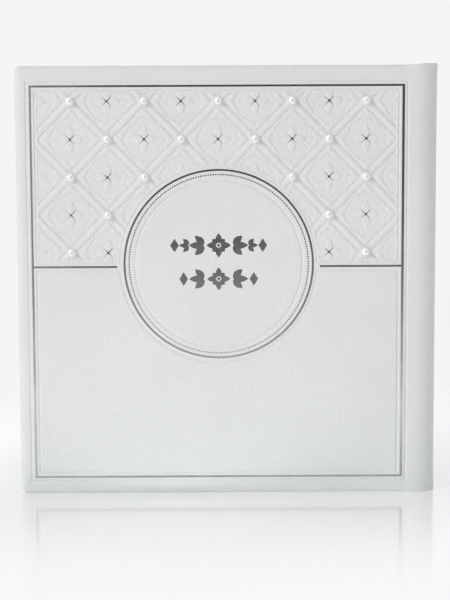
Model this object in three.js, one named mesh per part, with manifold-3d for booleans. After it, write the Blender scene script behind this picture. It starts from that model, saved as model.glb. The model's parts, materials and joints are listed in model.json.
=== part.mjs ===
// A square case-bound prayer book, standing upright on its tail edge.
// Millimetres, +Z up. The front cover faces -Y and the spine is at +X, as on a book read from right to left.
// The origin is under the middle of the whole object, at the bottom.
import * as THREE from "three";
import { mergeVertices } from "three/addons/utils/BufferGeometryUtils.js";
import Module from "manifold-3d";

const wasm = await Module();
wasm.setup();

// ---------------------------------------------------------------- driving dimensions

const COVER_HEIGHT = 150;
const COVER_WIDTH = 140; // fore edge to the start of the shoulder
const SHOULDER_REACH = 6; // how far the spine stands beyond the flat of the cover
const EDGE_ROUND = 1.6; // padded edge at fore edge, head and tail
const CORNER_ROUND = 2.2; // fore-edge corners, seen from the front; more than EDGE_ROUND

const SKIN = 0.5; // coated leather
const COVER_FOAM = 1.2;
const COVER_BOARD = 2.0;
const ENDPAPER = 0.2;
const GLUE = 0.05; // space between glued layers
const TURN_IN = 15; // how far the skin is folded over onto the inside

const SPINE_FOAM = 0.8;
const SPINE_CARD = 1.2;
const SPINE_TURN_IN = 12;

const SQUARE = 3; // how far the cover stands past the pages at head and tail
const FORE_SQUARE = 3.5; // and at the fore edge
const SECTION_COUNT = 8; // an even number: half of them turn with each cover
const SECTION_THICKNESS = 1.0;
const SECTION_GAP = 0.2;
const LEAF_GAP = 0.15; // on each side of a flyleaf

const BOARD_TO_AXIS = 4.05; // the bare hinge strip between the board and the hinge line
const AXIS_STAND_OFF = 0.1; // the hinge line runs just outside the skin
const HINGE_SLIT = 0.3; // between the skin of a cover and the skin of the spine
const BLOCK_TO_AXIS = 0.55; // folds of the sections stop this far short of the hinge line
const HOLLOW_BACK = 0.1; // space between the back of the page block and the case

const THREAD_DIAMETER = 0.3;
const THREAD_STATIONS = [20, 55, 95, 130]; // heights above the tail edge
const MULL = 0.25;
const MULL_SHORT = 8; // the mull stops this far inside the cover's head and tail
const LINER = 0.2;
const BAND_BEAD = 1.5; // height of the headband's bead above the pages
const BAND_DEPTH = 1.8;
const BAND_TAIL = 0.25;
const BAND_TAIL_LENGTH = 8;

const PEARL_DIAMETER = 3;
const PEARL_RISE = 1.5;
const QUILT_COLUMNS = 9;
const QUILT_ROWS = 5;
const QUILT_PITCH_X = COVER_WIDTH * 0.0911; // the quilting grows with the cover
const QUILT_PITCH_Z = COVER_HEIGHT * 0.087;
const TOP_ROW_DOWN = COVER_HEIGHT * 0.0837; // top row of pearls, below the head edge
const MEDALLION_ROWS_DOWN = 4.32; // its centre, in rows below the top row
const MEDALLION_REACH = 2.75; // no pearl is closer to its centre than this many pitches

// ---------------------------------------------------------------- derived places
// y is measured from the middle of the page block here; the whole group is shifted at the end.

const coverThickness = SKIN + COVER_FOAM + COVER_BOARD + SKIN + ENDPAPER + 4 * GLUE;
const blockThickness = SECTION_COUNT * SECTION_THICKNESS + (SECTION_COUNT - 1) * SECTION_GAP;
const halfThickness = blockThickness / 2 + 2 * LEAF_GAP + ENDPAPER + coverThickness;
const pearlTop = GLUE + PEARL_RISE; // above the skin

const foreEdge = -(COVER_WIDTH + SHOULDER_REACH) / 2;
const shoulderStart = foreEdge + COVER_WIDTH;
const spineBack = shoulderStart + SHOULDER_REACH;

// The shoulder: a short curve out of the flat, a straight slope, and a curve into the spine.
const SLOPE_RUN = [0.3 * SHOULDER_REACH, 0.77 * SHOULDER_REACH]; // where the slope starts and ends
const SLOPE_DROP = [0.6, 2.7]; // and how far it has dropped there
const slopeAngle = Math.atan2(SLOPE_DROP[1] - SLOPE_DROP[0], SLOPE_RUN[1] - SLOPE_RUN[0]);
const firstBend = SLOPE_RUN[0] - SLOPE_DROP[0] / Math.tan(slopeAngle);
const secondBendDrop = SLOPE_DROP[1] + (SHOULDER_REACH - SLOPE_RUN[1]) * Math.tan(slopeAngle);
const spineFlat = blockThickness / 2; // half width of the spine's flat back

// The hinge line stands off the slope, in front of all that lies behind the folds of the pages.
const backing = THREAD_DIAMETER + MULL + LINER + BAND_TAIL + 4 * GLUE;
const spineWall = 2 * SKIN + SPINE_FOAM + SPINE_CARD + 3 * GLUE;
const foldX = spineBack - spineWall - HOLLOW_BACK - backing;
const axisX = foldX + BLOCK_TO_AXIS;
const runAtAxis = axisX - AXIS_STAND_OFF * Math.sin(slopeAngle) - shoulderStart;
const dropAtAxis = SLOPE_DROP[0] + (runAtAxis - SLOPE_RUN[0]) * Math.tan(slopeAngle);
const axisY = -halfThickness + dropAtAxis - AXIS_STAND_OFF * Math.cos(slopeAngle);
const boardEnd = axisX - BOARD_TO_AXIS;

const pageBottom = SQUARE;
const pageTop = COVER_HEIGHT - SQUARE;
const pageFore = foreEdge + FORE_SQUARE;

// Layers of a cover, from the outside in, each as [outer face, inner face].
const skinFace = [-halfThickness, -halfThickness + SKIN];
const foamFace = after(skinFace, COVER_FOAM);
const boardFace = after(foamFace, COVER_BOARD);
const turnInFace = after(boardFace, SKIN);
const pastedownFace = after(turnInFace, ENDPAPER);
const flyleafFace = [pastedownFace[1] + LEAF_GAP, pastedownFace[1] + LEAF_GAP + ENDPAPER];

// Layers of the spine, from the outside in, along x.
const spineSkinX = [spineBack - SKIN, spineBack];
const spineFoamX = inside(spineSkinX, SPINE_FOAM);
const spineCardX = inside(spineFoamX, SPINE_CARD);
const spineTurnInX = inside(spineCardX, SKIN);

function after(layer, thickness) {
  return [layer[1] + GLUE, layer[1] + GLUE + thickness];
}

function inside(layer, thickness) {
  return [layer[0] - GLUE - thickness, layer[0] - GLUE];
}

// ---------------------------------------------------------------- materials

const finish = (color, roughness, metalness = 0) =>
  new THREE.MeshStandardMaterial({ color, roughness, metalness });
const leather = finish(0xe9ebe9, 0.45);
const foam = finish(0xf2efe6, 0.95);
const greyboard = finish(0x9b948a, 0.9);
const paper = finish(0xf4efe2, 0.85);
const endpaper = finish(0xf7f4ec, 0.7);
const cloth = finish(0xe6e1d2, 0.95);
const kraft = finish(0xb08d62, 0.9);
const silk = finish(0xf3f2ee, 0.5);
const thread = finish(0xf1ead8, 0.8);
const pearl = finish(0xf6f3ee, 0.2);

// ---------------------------------------------------------------- helpers

function block(x, y, z) {
  const size = [x, y, z].map(([low, high]) => high - low);
  const middle = [x, y, z].map(([low, high]) => (low + high) / 2);
  return new THREE.BoxGeometry(...size).translate(...middle);
}

function solid(geometry) {
  const bare = geometry.clone();
  bare.deleteAttribute("normal");
  bare.deleteAttribute("uv");
  const merged = mergeVertices(bare, 1e-4);
  return new wasm.Manifold(
    new wasm.Mesh({
      numProp: 3,
      vertProperties: merged.attributes.position.array,
      triVerts: new Uint32Array(merged.index.array),
    }),
  );
}

function geometryOf(manifold) {
  const mesh = manifold.getMesh();
  const geometry = new THREE.BufferGeometry();
  geometry.setAttribute("position", new THREE.BufferAttribute(mesh.vertProperties, 3));
  geometry.setIndex(new THREE.BufferAttribute(mesh.triVerts, 1));
  geometry.computeVertexNormals();
  return geometry;
}

function named(name, geometry, material) {
  const mesh = new THREE.Mesh(geometry, material);
  mesh.name = name;
  return mesh;
}

function group(...members) {
  const made = new THREE.Group();
  made.add(...members);
  return made;
}

// The outline of a cover seen from the front, its fore edge, head and tail moved in by inset.
function coverOutline(inset, endX) {
  const corner = CORNER_ROUND - inset;
  const [left, low, high] = [foreEdge + inset, inset, COVER_HEIGHT - inset];
  const outline = new THREE.Shape();
  outline.moveTo(endX, low);
  outline.lineTo(endX, high);
  outline.lineTo(left + corner, high);
  outline.absarc(left + corner, high - corner, corner, Math.PI / 2, Math.PI, false);
  outline.lineTo(left, low + corner);
  outline.absarc(left + corner, low + corner, corner, Math.PI, 1.5 * Math.PI, false);
  outline.closePath();
  return outline;
}

// A slab with that outline between two depths, its edges rounded over from the outer face.
function paddedSlab(inset, [outer, inner], endX) {
  const round = EDGE_ROUND - inset;
  const slab = new THREE.ExtrudeGeometry(coverOutline(EDGE_ROUND, endX + 1), {
    depth: inner - outer,
    bevelThickness: round,
    bevelSize: round,
    bevelSegments: 4,
    curveSegments: 4,
  });
  slab.rotateX(Math.PI / 2); // its depth now runs towards -Y
  slab.translate(0, inner + round, 0);
  const keep = block([foreEdge - 1, endX], [outer, inner], [-1, COVER_HEIGHT + 1]);
  return solid(slab).intersect(solid(keep));
}

// Points of the skin's outer line from the board's end round to the middle of the spine, moved in by depth.
function shoulderLine(depth) {
  const path = new THREE.Path();
  const place = (run, drop) => [shoulderStart + run, -halfThickness + drop];
  path.moveTo(boardEnd, -halfThickness);
  path.lineTo(shoulderStart, -halfThickness);
  path.quadraticCurveTo(...place(firstBend, 0), ...place(SLOPE_RUN[0], SLOPE_DROP[0]));
  path.lineTo(...place(SLOPE_RUN[1], SLOPE_DROP[1]));
  path.quadraticCurveTo(...place(SHOULDER_REACH, secondBendDrop), spineBack, -spineFlat);
  path.lineTo(spineBack, 0);
  const points = path.getPoints(6);
  return points.map((point, i) => {
    const before = points[Math.max(i - 1, 0)];
    const next = points[Math.min(i + 1, points.length - 1)];
    const along = next.clone().sub(before).normalize();
    return new THREE.Vector2(point.x - depth * along.y, point.y + depth * along.x);
  });
}

// The skin over both shoulders and the spine, at full height.
function spineShell() {
  const outer = shoulderLine(0);
  const inner = shoulderLine(SKIN);
  const mirrored = (line) => line.slice(0, -1).map((p) => new THREE.Vector2(p.x, -p.y)).reverse();
  const outline = [...outer, ...mirrored(outer), ...[...inner, ...mirrored(inner)].reverse()];
  const shell = new THREE.ExtrudeGeometry(new THREE.Shape(outline), {
    depth: COVER_HEIGHT,
    bevelEnabled: false,
  });
  return solid(shell);
}

// ---------------------------------------------------------------- covers, built at -Y

function coverSkin() {
  const overlap = 0.5; // the tray and the hinge strip share this much, so that they join
  const tray = paddedSlab(0, [skinFace[0], turnInFace[1]], boardEnd + overlap);
  const pocket = paddedSlab(SKIN, [skinFace[1], turnInFace[0]], boardEnd + 2 * overlap);
  const window = block(
    [foreEdge + TURN_IN, boardEnd + 2 * overlap],
    [boardFace[0], turnInFace[1] + 1],
    [TURN_IN, COVER_HEIGHT - TURN_IN],
  );
  const hingeSpace = block(
    [boardEnd, boardEnd + 2 * overlap],
    [skinFace[1], turnInFace[1] + 1],
    [-1, COVER_HEIGHT + 1],
  );
  const strip = spineShell().intersect(
    solid(block([boardEnd, axisX - HINGE_SLIT / 2], [-halfThickness - 1, 0], [-1, COVER_HEIGHT + 1])),
  );
  return geometryOf(
    tray.subtract(pocket).subtract(solid(window)).subtract(solid(hingeSpace)).add(strip),
  );
}

function coverFoam() {
  return geometryOf(paddedSlab(SKIN + GLUE, foamFace, boardEnd));
}

function coverBoard() {
  const board = new THREE.ExtrudeGeometry(coverOutline(SKIN + GLUE, boardEnd), {
    depth: COVER_BOARD,
    bevelEnabled: false,
    curveSegments: 4,
  });
  return board.rotateX(Math.PI / 2).translate(0, boardFace[1], 0);
}

// The pastedown lies on the turn-ins and sinks to the board between them.
function pastedown() {
  const ease = 0.3;
  const edge = 0.4; // the pastedown stops just inside the pages' outline
  const sunk = [boardFace[1] + GLUE, boardFace[1] + GLUE + ENDPAPER];
  const wide = [pageFore + edge, boardEnd];
  const tall = [pageBottom + edge, pageTop - edge];
  const dishX = [foreEdge + TURN_IN + ease, boardEnd - 1];
  const dishZ = [TURN_IN + ease, COVER_HEIGHT - TURN_IN - ease];
  const rim = solid(block(wide, pastedownFace, tall));
  const dish = solid(block(dishX, [sunk[0], pastedownFace[1]], dishZ));
  const hollow = block(
    [dishX[0] + ENDPAPER, dishX[1] - ENDPAPER],
    [sunk[1], pastedownFace[1] + 1],
    [dishZ[0] + ENDPAPER, dishZ[1] - ENDPAPER],
  );
  return geometryOf(rim.add(dish).subtract(solid(hollow)));
}

function cover(side) {
  return group(
    named(`${side}_leather`, coverSkin(), leather),
    named(`${side}_foam_pad`, coverFoam(), foam),
    named(`${side}_board`, coverBoard(), greyboard),
    named(`${side}_pastedown`, pastedown(), endpaper),
  );
}

function flyleaf(side) {
  const sheet = block([pageFore, foldX], flyleafFace, [pageBottom, pageTop]);
  return named(`${side}_flyleaf`, sheet, endpaper);
}

// ---------------------------------------------------------------- pearls

// Pearls sit on every other crossing of the quilting, and leave room for the medallion.
function pearls() {
  const middleX = (foreEdge + shoulderStart) / 2;
  const middleColumn = (QUILT_COLUMNS - 1) / 2;
  const made = [];
  for (let row = 0; row < QUILT_ROWS; row++) {
    for (let column = 0; column < QUILT_COLUMNS; column++) {
      const across = column - middleColumn;
      const onCrossing = (row + column) % 2 === 0;
      if (!onCrossing || Math.hypot(across, row - MEDALLION_ROWS_DOWN) < MEDALLION_REACH) continue;
      const number = String(made.length + 1).padStart(2, "0");
      const dome = named(`pearl_${number}`, pearlDome(), pearl);
      const height = COVER_HEIGHT - TOP_ROW_DOWN - row * QUILT_PITCH_Z;
      dome.position.set(middleX + across * QUILT_PITCH_X, -halfThickness - GLUE, height);
      made.push(dome);
    }
  }
  return made;
}

// A flat-backed pearl, its dome towards -Y.
function pearlDome() {
  const steps = 4;
  const profile = [new THREE.Vector2(0, 0)];
  for (let i = 0; i <= steps; i++) {
    const angle = (i / steps) * (Math.PI / 2);
    const radius = i === steps ? 0 : (PEARL_DIAMETER / 2) * Math.cos(angle);
    profile.push(new THREE.Vector2(radius, PEARL_RISE * Math.sin(angle)));
  }
  return new THREE.LatheGeometry(profile, 12).rotateX(Math.PI);
}

// ---------------------------------------------------------------- spine

function spineSkin() {
  const ends = [-spineFlat, spineFlat];
  const across = [spineTurnInX[0], spineSkinX[0] + GLUE];
  const behindHinge = block(
    [axisX + HINGE_SLIT / 2, spineBack + 1],
    [-halfThickness, halfThickness],
    [-1, COVER_HEIGHT + 1],
  );
  const whole = spineShell().intersect(solid(behindHinge));
  const folds = [
    block(across, ends, [0, SKIN]),
    block(across, ends, [COVER_HEIGHT - SKIN, COVER_HEIGHT]),
    block(spineTurnInX, ends, [0, SPINE_TURN_IN]),
    block(spineTurnInX, ends, [COVER_HEIGHT - SPINE_TURN_IN, COVER_HEIGHT]),
  ];
  return geometryOf(folds.reduce((sum, fold) => sum.add(solid(fold)), whole));
}

function spineLayer(x) {
  return block(x, [-spineFlat, spineFlat], [SKIN + GLUE, COVER_HEIGHT - SKIN - GLUE]);
}

function caseSpine() {
  return [
    named("spine_leather", spineSkin(), leather),
    named("spine_foam_strip", spineLayer(spineFoamX), foam),
    named("spine_card", spineLayer(spineCardX), greyboard),
  ];
}

// ---------------------------------------------------------------- page block

// One gathering of folded leaves: square at the fore edge, rounded at the fold.
function section(low) {
  const radius = SECTION_THICKNESS / 2;
  const outline = new THREE.Shape();
  outline.moveTo(pageFore, low);
  outline.lineTo(foldX - radius, low);
  outline.absarc(foldX - radius, low + radius, radius, -Math.PI / 2, Math.PI / 2, false);
  outline.lineTo(pageFore, low + SECTION_THICKNESS);
  outline.closePath();
  const gathering = new THREE.ExtrudeGeometry(outline, {
    depth: pageTop - pageBottom,
    bevelEnabled: false,
    curveSegments: 8,
  });
  return gathering.translate(0, 0, pageBottom);
}

function sections() {
  return Array.from({ length: SECTION_COUNT }, (_, i) => {
    const low = -blockThickness / 2 + i * (SECTION_THICKNESS + SECTION_GAP);
    return named(`section_${i + 1}`, section(low), paper);
  });
}

const threadX = foldX + GLUE + THREAD_DIAMETER / 2;
const mullX = [threadX + THREAD_DIAMETER / 2 + GLUE, threadX + THREAD_DIAMETER / 2 + GLUE + MULL];
const linerX = after(mullX, LINER);
const blockY = [-blockThickness / 2, blockThickness / 2];

function sewing() {
  const reach = blockThickness - SECTION_THICKNESS; // from the middle of the first fold to that of the last
  return THREAD_STATIONS.map((height, i) => {
    const strand = new THREE.CylinderGeometry(THREAD_DIAMETER / 2, THREAD_DIAMETER / 2, reach, 8);
    return named(`sewing_thread_${i + 1}`, strand.translate(threadX, 0, height), thread);
  });
}

// A headband: a bead over the pages' edge with a tail glued down the back. It is drawn for the head.
function band() {
  const beadBack = linerX[1] + GLUE;
  const beadFront = foldX - BAND_DEPTH;
  const low = pageTop + GLUE;
  const outline = new THREE.Shape();
  outline.moveTo(beadFront, low);
  outline.quadraticCurveTo(beadFront, low + BAND_BEAD, (beadFront + beadBack) / 2, low + BAND_BEAD);
  outline.quadraticCurveTo(beadBack + BAND_TAIL, low + BAND_BEAD, beadBack + BAND_TAIL, low);
  outline.lineTo(beadBack + BAND_TAIL, low - BAND_TAIL_LENGTH);
  outline.lineTo(beadBack, low - BAND_TAIL_LENGTH);
  outline.lineTo(beadBack, low);
  outline.closePath();
  const strip = new THREE.ExtrudeGeometry(outline, {
    depth: blockThickness,
    bevelEnabled: false,
    curveSegments: 5,
  });
  return strip.rotateX(Math.PI / 2).translate(0, blockThickness / 2, 0);
}

function blockSpine() {
  const head = named("headband", band(), silk);
  const tail = named("tailband", band(), silk);
  tail.scale.z = -1;
  tail.position.z = COVER_HEIGHT;
  return [
    named("mull_cloth", block(mullX, blockY, [MULL_SHORT, COVER_HEIGHT - MULL_SHORT]), cloth),
    named("spine_liner", block(linerX, blockY, [pageBottom, pageTop]), kraft),
    head,
    tail,
  ];
}

// ---------------------------------------------------------------- assembly

const frontSide = group(cover("front"), flyleaf("front"), ...pearls());
const backSide = group(cover("back"), flyleaf("back"));
backSide.scale.y = -1;

const book = group(frontSide, backSide, ...caseSpine(), ...sections(), ...sewing(), ...blockSpine());
book.position.y = pearlTop / 2; // centres the whole depth, pearls included

export default book;
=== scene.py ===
import json
import math

import bmesh
import bpy
import numpy as np
from mathutils import Matrix, Vector

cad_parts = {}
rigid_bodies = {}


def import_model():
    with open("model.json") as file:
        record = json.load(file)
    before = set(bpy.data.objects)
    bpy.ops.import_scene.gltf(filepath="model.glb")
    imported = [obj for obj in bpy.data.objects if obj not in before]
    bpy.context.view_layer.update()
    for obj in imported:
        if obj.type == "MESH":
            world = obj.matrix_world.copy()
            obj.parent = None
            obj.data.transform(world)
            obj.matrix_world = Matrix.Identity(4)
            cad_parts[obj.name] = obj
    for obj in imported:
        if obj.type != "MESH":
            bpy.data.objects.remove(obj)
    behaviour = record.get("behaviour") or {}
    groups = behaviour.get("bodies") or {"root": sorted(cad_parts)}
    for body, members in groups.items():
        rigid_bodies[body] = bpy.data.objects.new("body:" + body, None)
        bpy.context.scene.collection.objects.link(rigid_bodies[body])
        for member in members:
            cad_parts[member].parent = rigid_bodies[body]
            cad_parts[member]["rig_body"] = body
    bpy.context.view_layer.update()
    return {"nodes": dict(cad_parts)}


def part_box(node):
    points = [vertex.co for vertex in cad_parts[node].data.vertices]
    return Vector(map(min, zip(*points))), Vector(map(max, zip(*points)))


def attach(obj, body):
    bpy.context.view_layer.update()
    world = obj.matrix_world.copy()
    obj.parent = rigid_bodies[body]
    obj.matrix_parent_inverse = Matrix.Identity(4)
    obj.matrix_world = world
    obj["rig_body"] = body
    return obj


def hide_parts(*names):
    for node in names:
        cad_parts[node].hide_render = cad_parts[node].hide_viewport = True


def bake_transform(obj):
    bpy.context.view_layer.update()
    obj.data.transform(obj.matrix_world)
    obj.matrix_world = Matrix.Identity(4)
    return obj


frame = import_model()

# All local sizes are in millimetres. X runs from the fore edge towards the spine, Z up from the tail,
# and depth D inwards from the outer face of a cover.

MM = 0.001


def mm_box(node):
    low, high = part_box(node)
    return np.array(low) / MM, np.array(high) / MM


front_low, front_high = mm_box("front_leather")
back_high = mm_box("back_leather")[1]
spine_high = mm_box("spine_leather")[1]
board_high = mm_box("front_board")[1]
paste_high = mm_box("front_pastedown")[1]
first_low, first_high = mm_box("section_1")
last_high = mm_box("section_8")[1]

FORE = front_low[0]
MIDDLE_Y = (front_low[1] + back_high[1]) / 2
HALF = MIDDLE_Y - front_low[1]  # from the middle of the block to the outer face
HEIGHT = front_high[2]
WIDTH = spine_high[0] - FORE
BOARD_END = board_high[0] - FORE
INNER_D = front_high[1] - front_low[1]  # inner face of the turn-ins
FOLD = first_high[0] - FORE
PAGE_FORE = first_low[0] - FORE
BLOCK_HALF = (last_high[1] - first_low[1]) / 2
SHOULDER = WIDTH - 6.0  # where the cover starts to turn into the spine


def place(side, x, depth, z):
    """Points in the row frame, in metres, for the front (-1) or back (1) cover."""
    y = MIDDLE_Y + side * (HALF - depth)
    return np.stack(np.broadcast_arrays(FORE + x, y, z), -1) * MM


# -------------------- quilting and frame lines

pearl_names = sorted(n for n in frame["nodes"] if n.startswith("pearl_"))
pearl_at = {n: (np.add(*mm_box(n)) / 2) for n in pearl_names}
top_row = sorted((p[0] - FORE for p in pearl_at.values() if p[2] > max(q[2] for q in pearl_at.values()) - 1))
LATTICE_X = top_row[0]
PITCH_X = (top_row[-1] - top_row[0]) / (2 * (len(top_row) - 1))
LATTICE_Z = max(p[2] for p in pearl_at.values())
QUILT_ROWS = 5
QUILT_COLUMNS = 9
PITCH_Z = (LATTICE_Z - min(p[2] for p in pearl_at.values())) / (QUILT_ROWS - 1)
MEDAL_ROWS_DOWN = 4.32  # the medallion's centre, in rows below the top row
MEDAL_X = LATTICE_X + 4 * PITCH_X
MEDAL_Z = LATTICE_Z - MEDAL_ROWS_DOWN * PITCH_Z

FRAME_X = (5.45, 133.8)
FRAME_Z = (6.0, 142.7)
LINE_Z = MEDAL_Z - 0.8  # the line across the cover, stopped by the medallion
LINE_ENDS = (MEDAL_X - 35.3, MEDAL_X + 35.1)
FOIL_WIDTH = 0.72
RIGHT_LINE_EXTRA = 0.08
RING = 32.7
DOT_RING = 31.1
RING_OUTER = 34.2  # grooves on both sides of the ring
RING_INNER = 29.1
GROOVE_OUT = 1.5  # from a foil line to the grooves beside it
GROOVE_HALF = 0.45
GROOVE_DEEP = 0.32
GROOVE_SOFT = 0.6  # how gently a groove ends where another crosses it
QUILT_DEEP = 0.2
OUTLINE_DEEP = 0.17
OUTLINE_WIDTH = 0.22
QUILT_MARGIN = 2.2  # plain leather inside the frame line
QUILT_OVER_LINE = 2.3
QUILT_ROUND_RING = 0.7
STRAP_HALF = 0.92
STRAP_GAP = 1.45  # from a strap's middle to the wings beside it
BOSS_RADIUS = 1.9
WING_START = 2.7
WING_LENGTH = 5.2
PETAL_LENGTH = 4.75
PETAL_CUT = 4.7  # its outline would run on past the tip as a crease
PETAL_HALF = 1.5
OUTSIDE = -9.0
SCALLOP = 0.2  # waves in the wings' edges and tips, with radians per millimetre
EDGE_WAVES = 2.7
TIP_WAVES = 3.3


def rise(value, soft):
    """0 below -soft/2, 1 above soft/2, and smooth between."""
    t = np.clip(value / soft + 0.5, 0, 1)
    return t * t * (3 - 2 * t)


def frame_distance(x, z):
    """Signed distance to the foil frame's line, negative inside."""
    cx, cz = sum(FRAME_X) / 2, sum(FRAME_Z) / 2
    hx, hz = (FRAME_X[1] - FRAME_X[0]) / 2, (FRAME_Z[1] - FRAME_Z[0]) / 2
    return np.maximum(abs(x - cx) - hx, abs(z - cz) - hz)


def groove(offset):
    """A round-bottomed groove, 1 deep at offset 0."""
    return np.cos(np.clip(offset / GROOVE_HALF, -1, 1) * math.pi / 2) ** 2


def quilt(x, z):
    """The quilting's raised parts, 0 on the ground and 1 on top, and the fine line round each of them."""
    u = (x - LATTICE_X) / PITCH_X
    v = (LATTICE_Z - z) / PITCH_Z
    strap_unit = PITCH_X * PITCH_Z / math.hypot(PITCH_X, PITCH_Z)
    one, two = (abs((w + 1) % 2 - 1) * strap_unit for w in (u - v, u + v))

    # The nearest pearl, and the offset from it folded into one eighth.
    p, q = np.round((u - v) / 2), np.round((u + v) / 2)
    dx, dz = abs(u - (p + q)) * PITCH_X, abs(v - (q - p)) * PITCH_Z
    along, across = np.maximum(dx, dz), np.minimum(dx, dz)
    away = np.minimum(one, two)
    gap = STRAP_GAP + 0.5 * np.clip((along - 2.6) / 4.7, 0, 1)
    edge = away - gap + SCALLOP * np.cos(EDGE_WAVES * along)
    tip = WING_LENGTH + 2.0 * np.clip(across / 3.66, 0, 1.3) ** 1.15
    notch = (tip - along) * 0.86 - SCALLOP * np.cos(TIP_WAVES * across)
    start = along + 0.3 * across - WING_START
    wing = np.minimum(np.minimum(edge, notch), start)
    strap = STRAP_HALF - away
    boss = BOSS_RADIUS - np.hypot(dx, dz)

    # The nearest star, at the other crossings.
    p, q = np.round((u - v - 1) / 2), np.round((u + v - 1) / 2)
    sx, sz = abs(u - (p + q + 1)) * PITCH_X, abs(v - (q - p)) * PITCH_Z
    along, across = np.maximum(sx, sz), np.minimum(sx, sz)
    share = np.clip(along / PETAL_LENGTH, 0, 1)
    petal_half = PETAL_HALF * np.sin(math.pi * share ** 0.95) ** 0.85
    petal = np.where(along < PETAL_CUT, petal_half - across - 0.12, OUTSIDE)

    top, line = np.zeros_like(x), np.zeros_like(x)
    for inside, height in ((strap, 1.0), (wing, 0.8), (petal, 0.9), (boss, 1.0)):
        top = np.maximum(top, height * (0.8 * rise(inside, 0.3) + 0.2 * rise(inside - 0.5, 1.0)))
        line = np.maximum(line, np.exp(-((inside + 0.1) / OUTLINE_WIDTH) ** 2))
    return top, line * (np.maximum(strap, boss) < 0.15)


def relief(x, z):
    """Height of the front cover's pressed pattern, 0 or below."""
    sd = frame_distance(x, z)
    r = np.hypot(x - MEDAL_X, z - MEDAL_Z)
    inside = rise(-sd - GROOVE_OUT, GROOVE_SOFT) * rise(r - RING_OUTER, GROOVE_SOFT)
    off_line = rise(abs(z - LINE_Z) - GROOVE_OUT, GROOVE_SOFT)
    frame_grooves = np.maximum(groove(sd - GROOVE_OUT), groove(sd + GROOVE_OUT) * off_line)
    ring_grooves = np.maximum(groove(r - RING_OUTER) * off_line, groove(r - RING_INNER))
    cross_grooves = np.maximum(groove(z - LINE_Z - GROOVE_OUT), groove(z - LINE_Z + GROOVE_OUT)) * inside
    lines = np.maximum(np.maximum(frame_grooves, ring_grooves), cross_grooves)
    field = np.minimum(-sd - QUILT_MARGIN, z - LINE_Z - QUILT_OVER_LINE)
    field = np.minimum(field, r - RING_OUTER - QUILT_ROUND_RING)
    top, line = quilt(x, z)
    ground = rise(field, 0.5) * (QUILT_DEEP * (1 - top) + OUTLINE_DEEP * line)
    return -GROOVE_DEEP * lines - ground


# -------------------- covers

EDGE_REACH = 2.5  # the padded, rounded edge of a cover
EDGE_DEEP = 1.7
STRIP_EDGE = 0.4  # the same on the thin strip over the hinge
STRIP_THICK = 0.9
CROWN = 0.10  # how much the padding sinks towards the edge
CROWN_REACH = 7.0
CORNER = 2.2
TURN_IN = 15.0
BOARD_GAP = 0.9  # from the window between the turn-ins to the board's end
FLAT_END = BOARD_END + 0.2
HEAD_DROP = 0.45  # the head is pulled down a little, except at the spine
DROP_POWER = 30
FLARE = 0.25  # how far the spine stands out at its ends
FLARE_REACH = 5.0
STEP = 0.33  # of the mesh, over the quilting
LINE_STEP = 0.19
MEDAL_STEP = 0.42
PLAIN_STEP = 1.6


def shoulder_profile():
    """The leather's outer line past the flat of the cover, as (X, D), in even steps."""
    t = np.linspace(0, 1, 40)[:, None]
    start, out = (FLAT_END, 0), (SHOULDER + 1.6, 0)
    over, end = (WIDTH - 0.1, 1.9), (WIDTH, HALF - BLOCK_HALF)
    line = np.vstack([
        (1 - t) ** 3 * np.array(start) + 3 * (1 - t) ** 2 * t * np.array(out)
        + 3 * (1 - t) * t ** 2 * np.array(over) + t ** 3 * np.array(end),
        [[WIDTH, end[1] + 0.9]],
    ])
    length = np.r_[0, np.cumsum(np.hypot(*np.diff(line, axis=0).T))]
    even = np.linspace(0, length[-1], 36)
    return np.stack([np.interp(even, length, line[:, k]) for k in (0, 1)], -1), even


def graded(end, count=9):
    """From 0 to end, closer together near 0."""
    return end * (1 - np.cos(np.linspace(0, math.pi / 2, count)))


def spread(low, high, step):
    return np.linspace(low, high, max(2, int(round((high - low) / step)) + 1))


def stepped(marks, steps):
    """Stations through the marks, with its own step in each stretch."""
    parts = [spread(a, b, step)[1:] for a, b, step in zip(marks, marks[1:], steps)]
    return np.r_[marks[0], np.concatenate(parts)]


pressed_grid = {}


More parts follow.
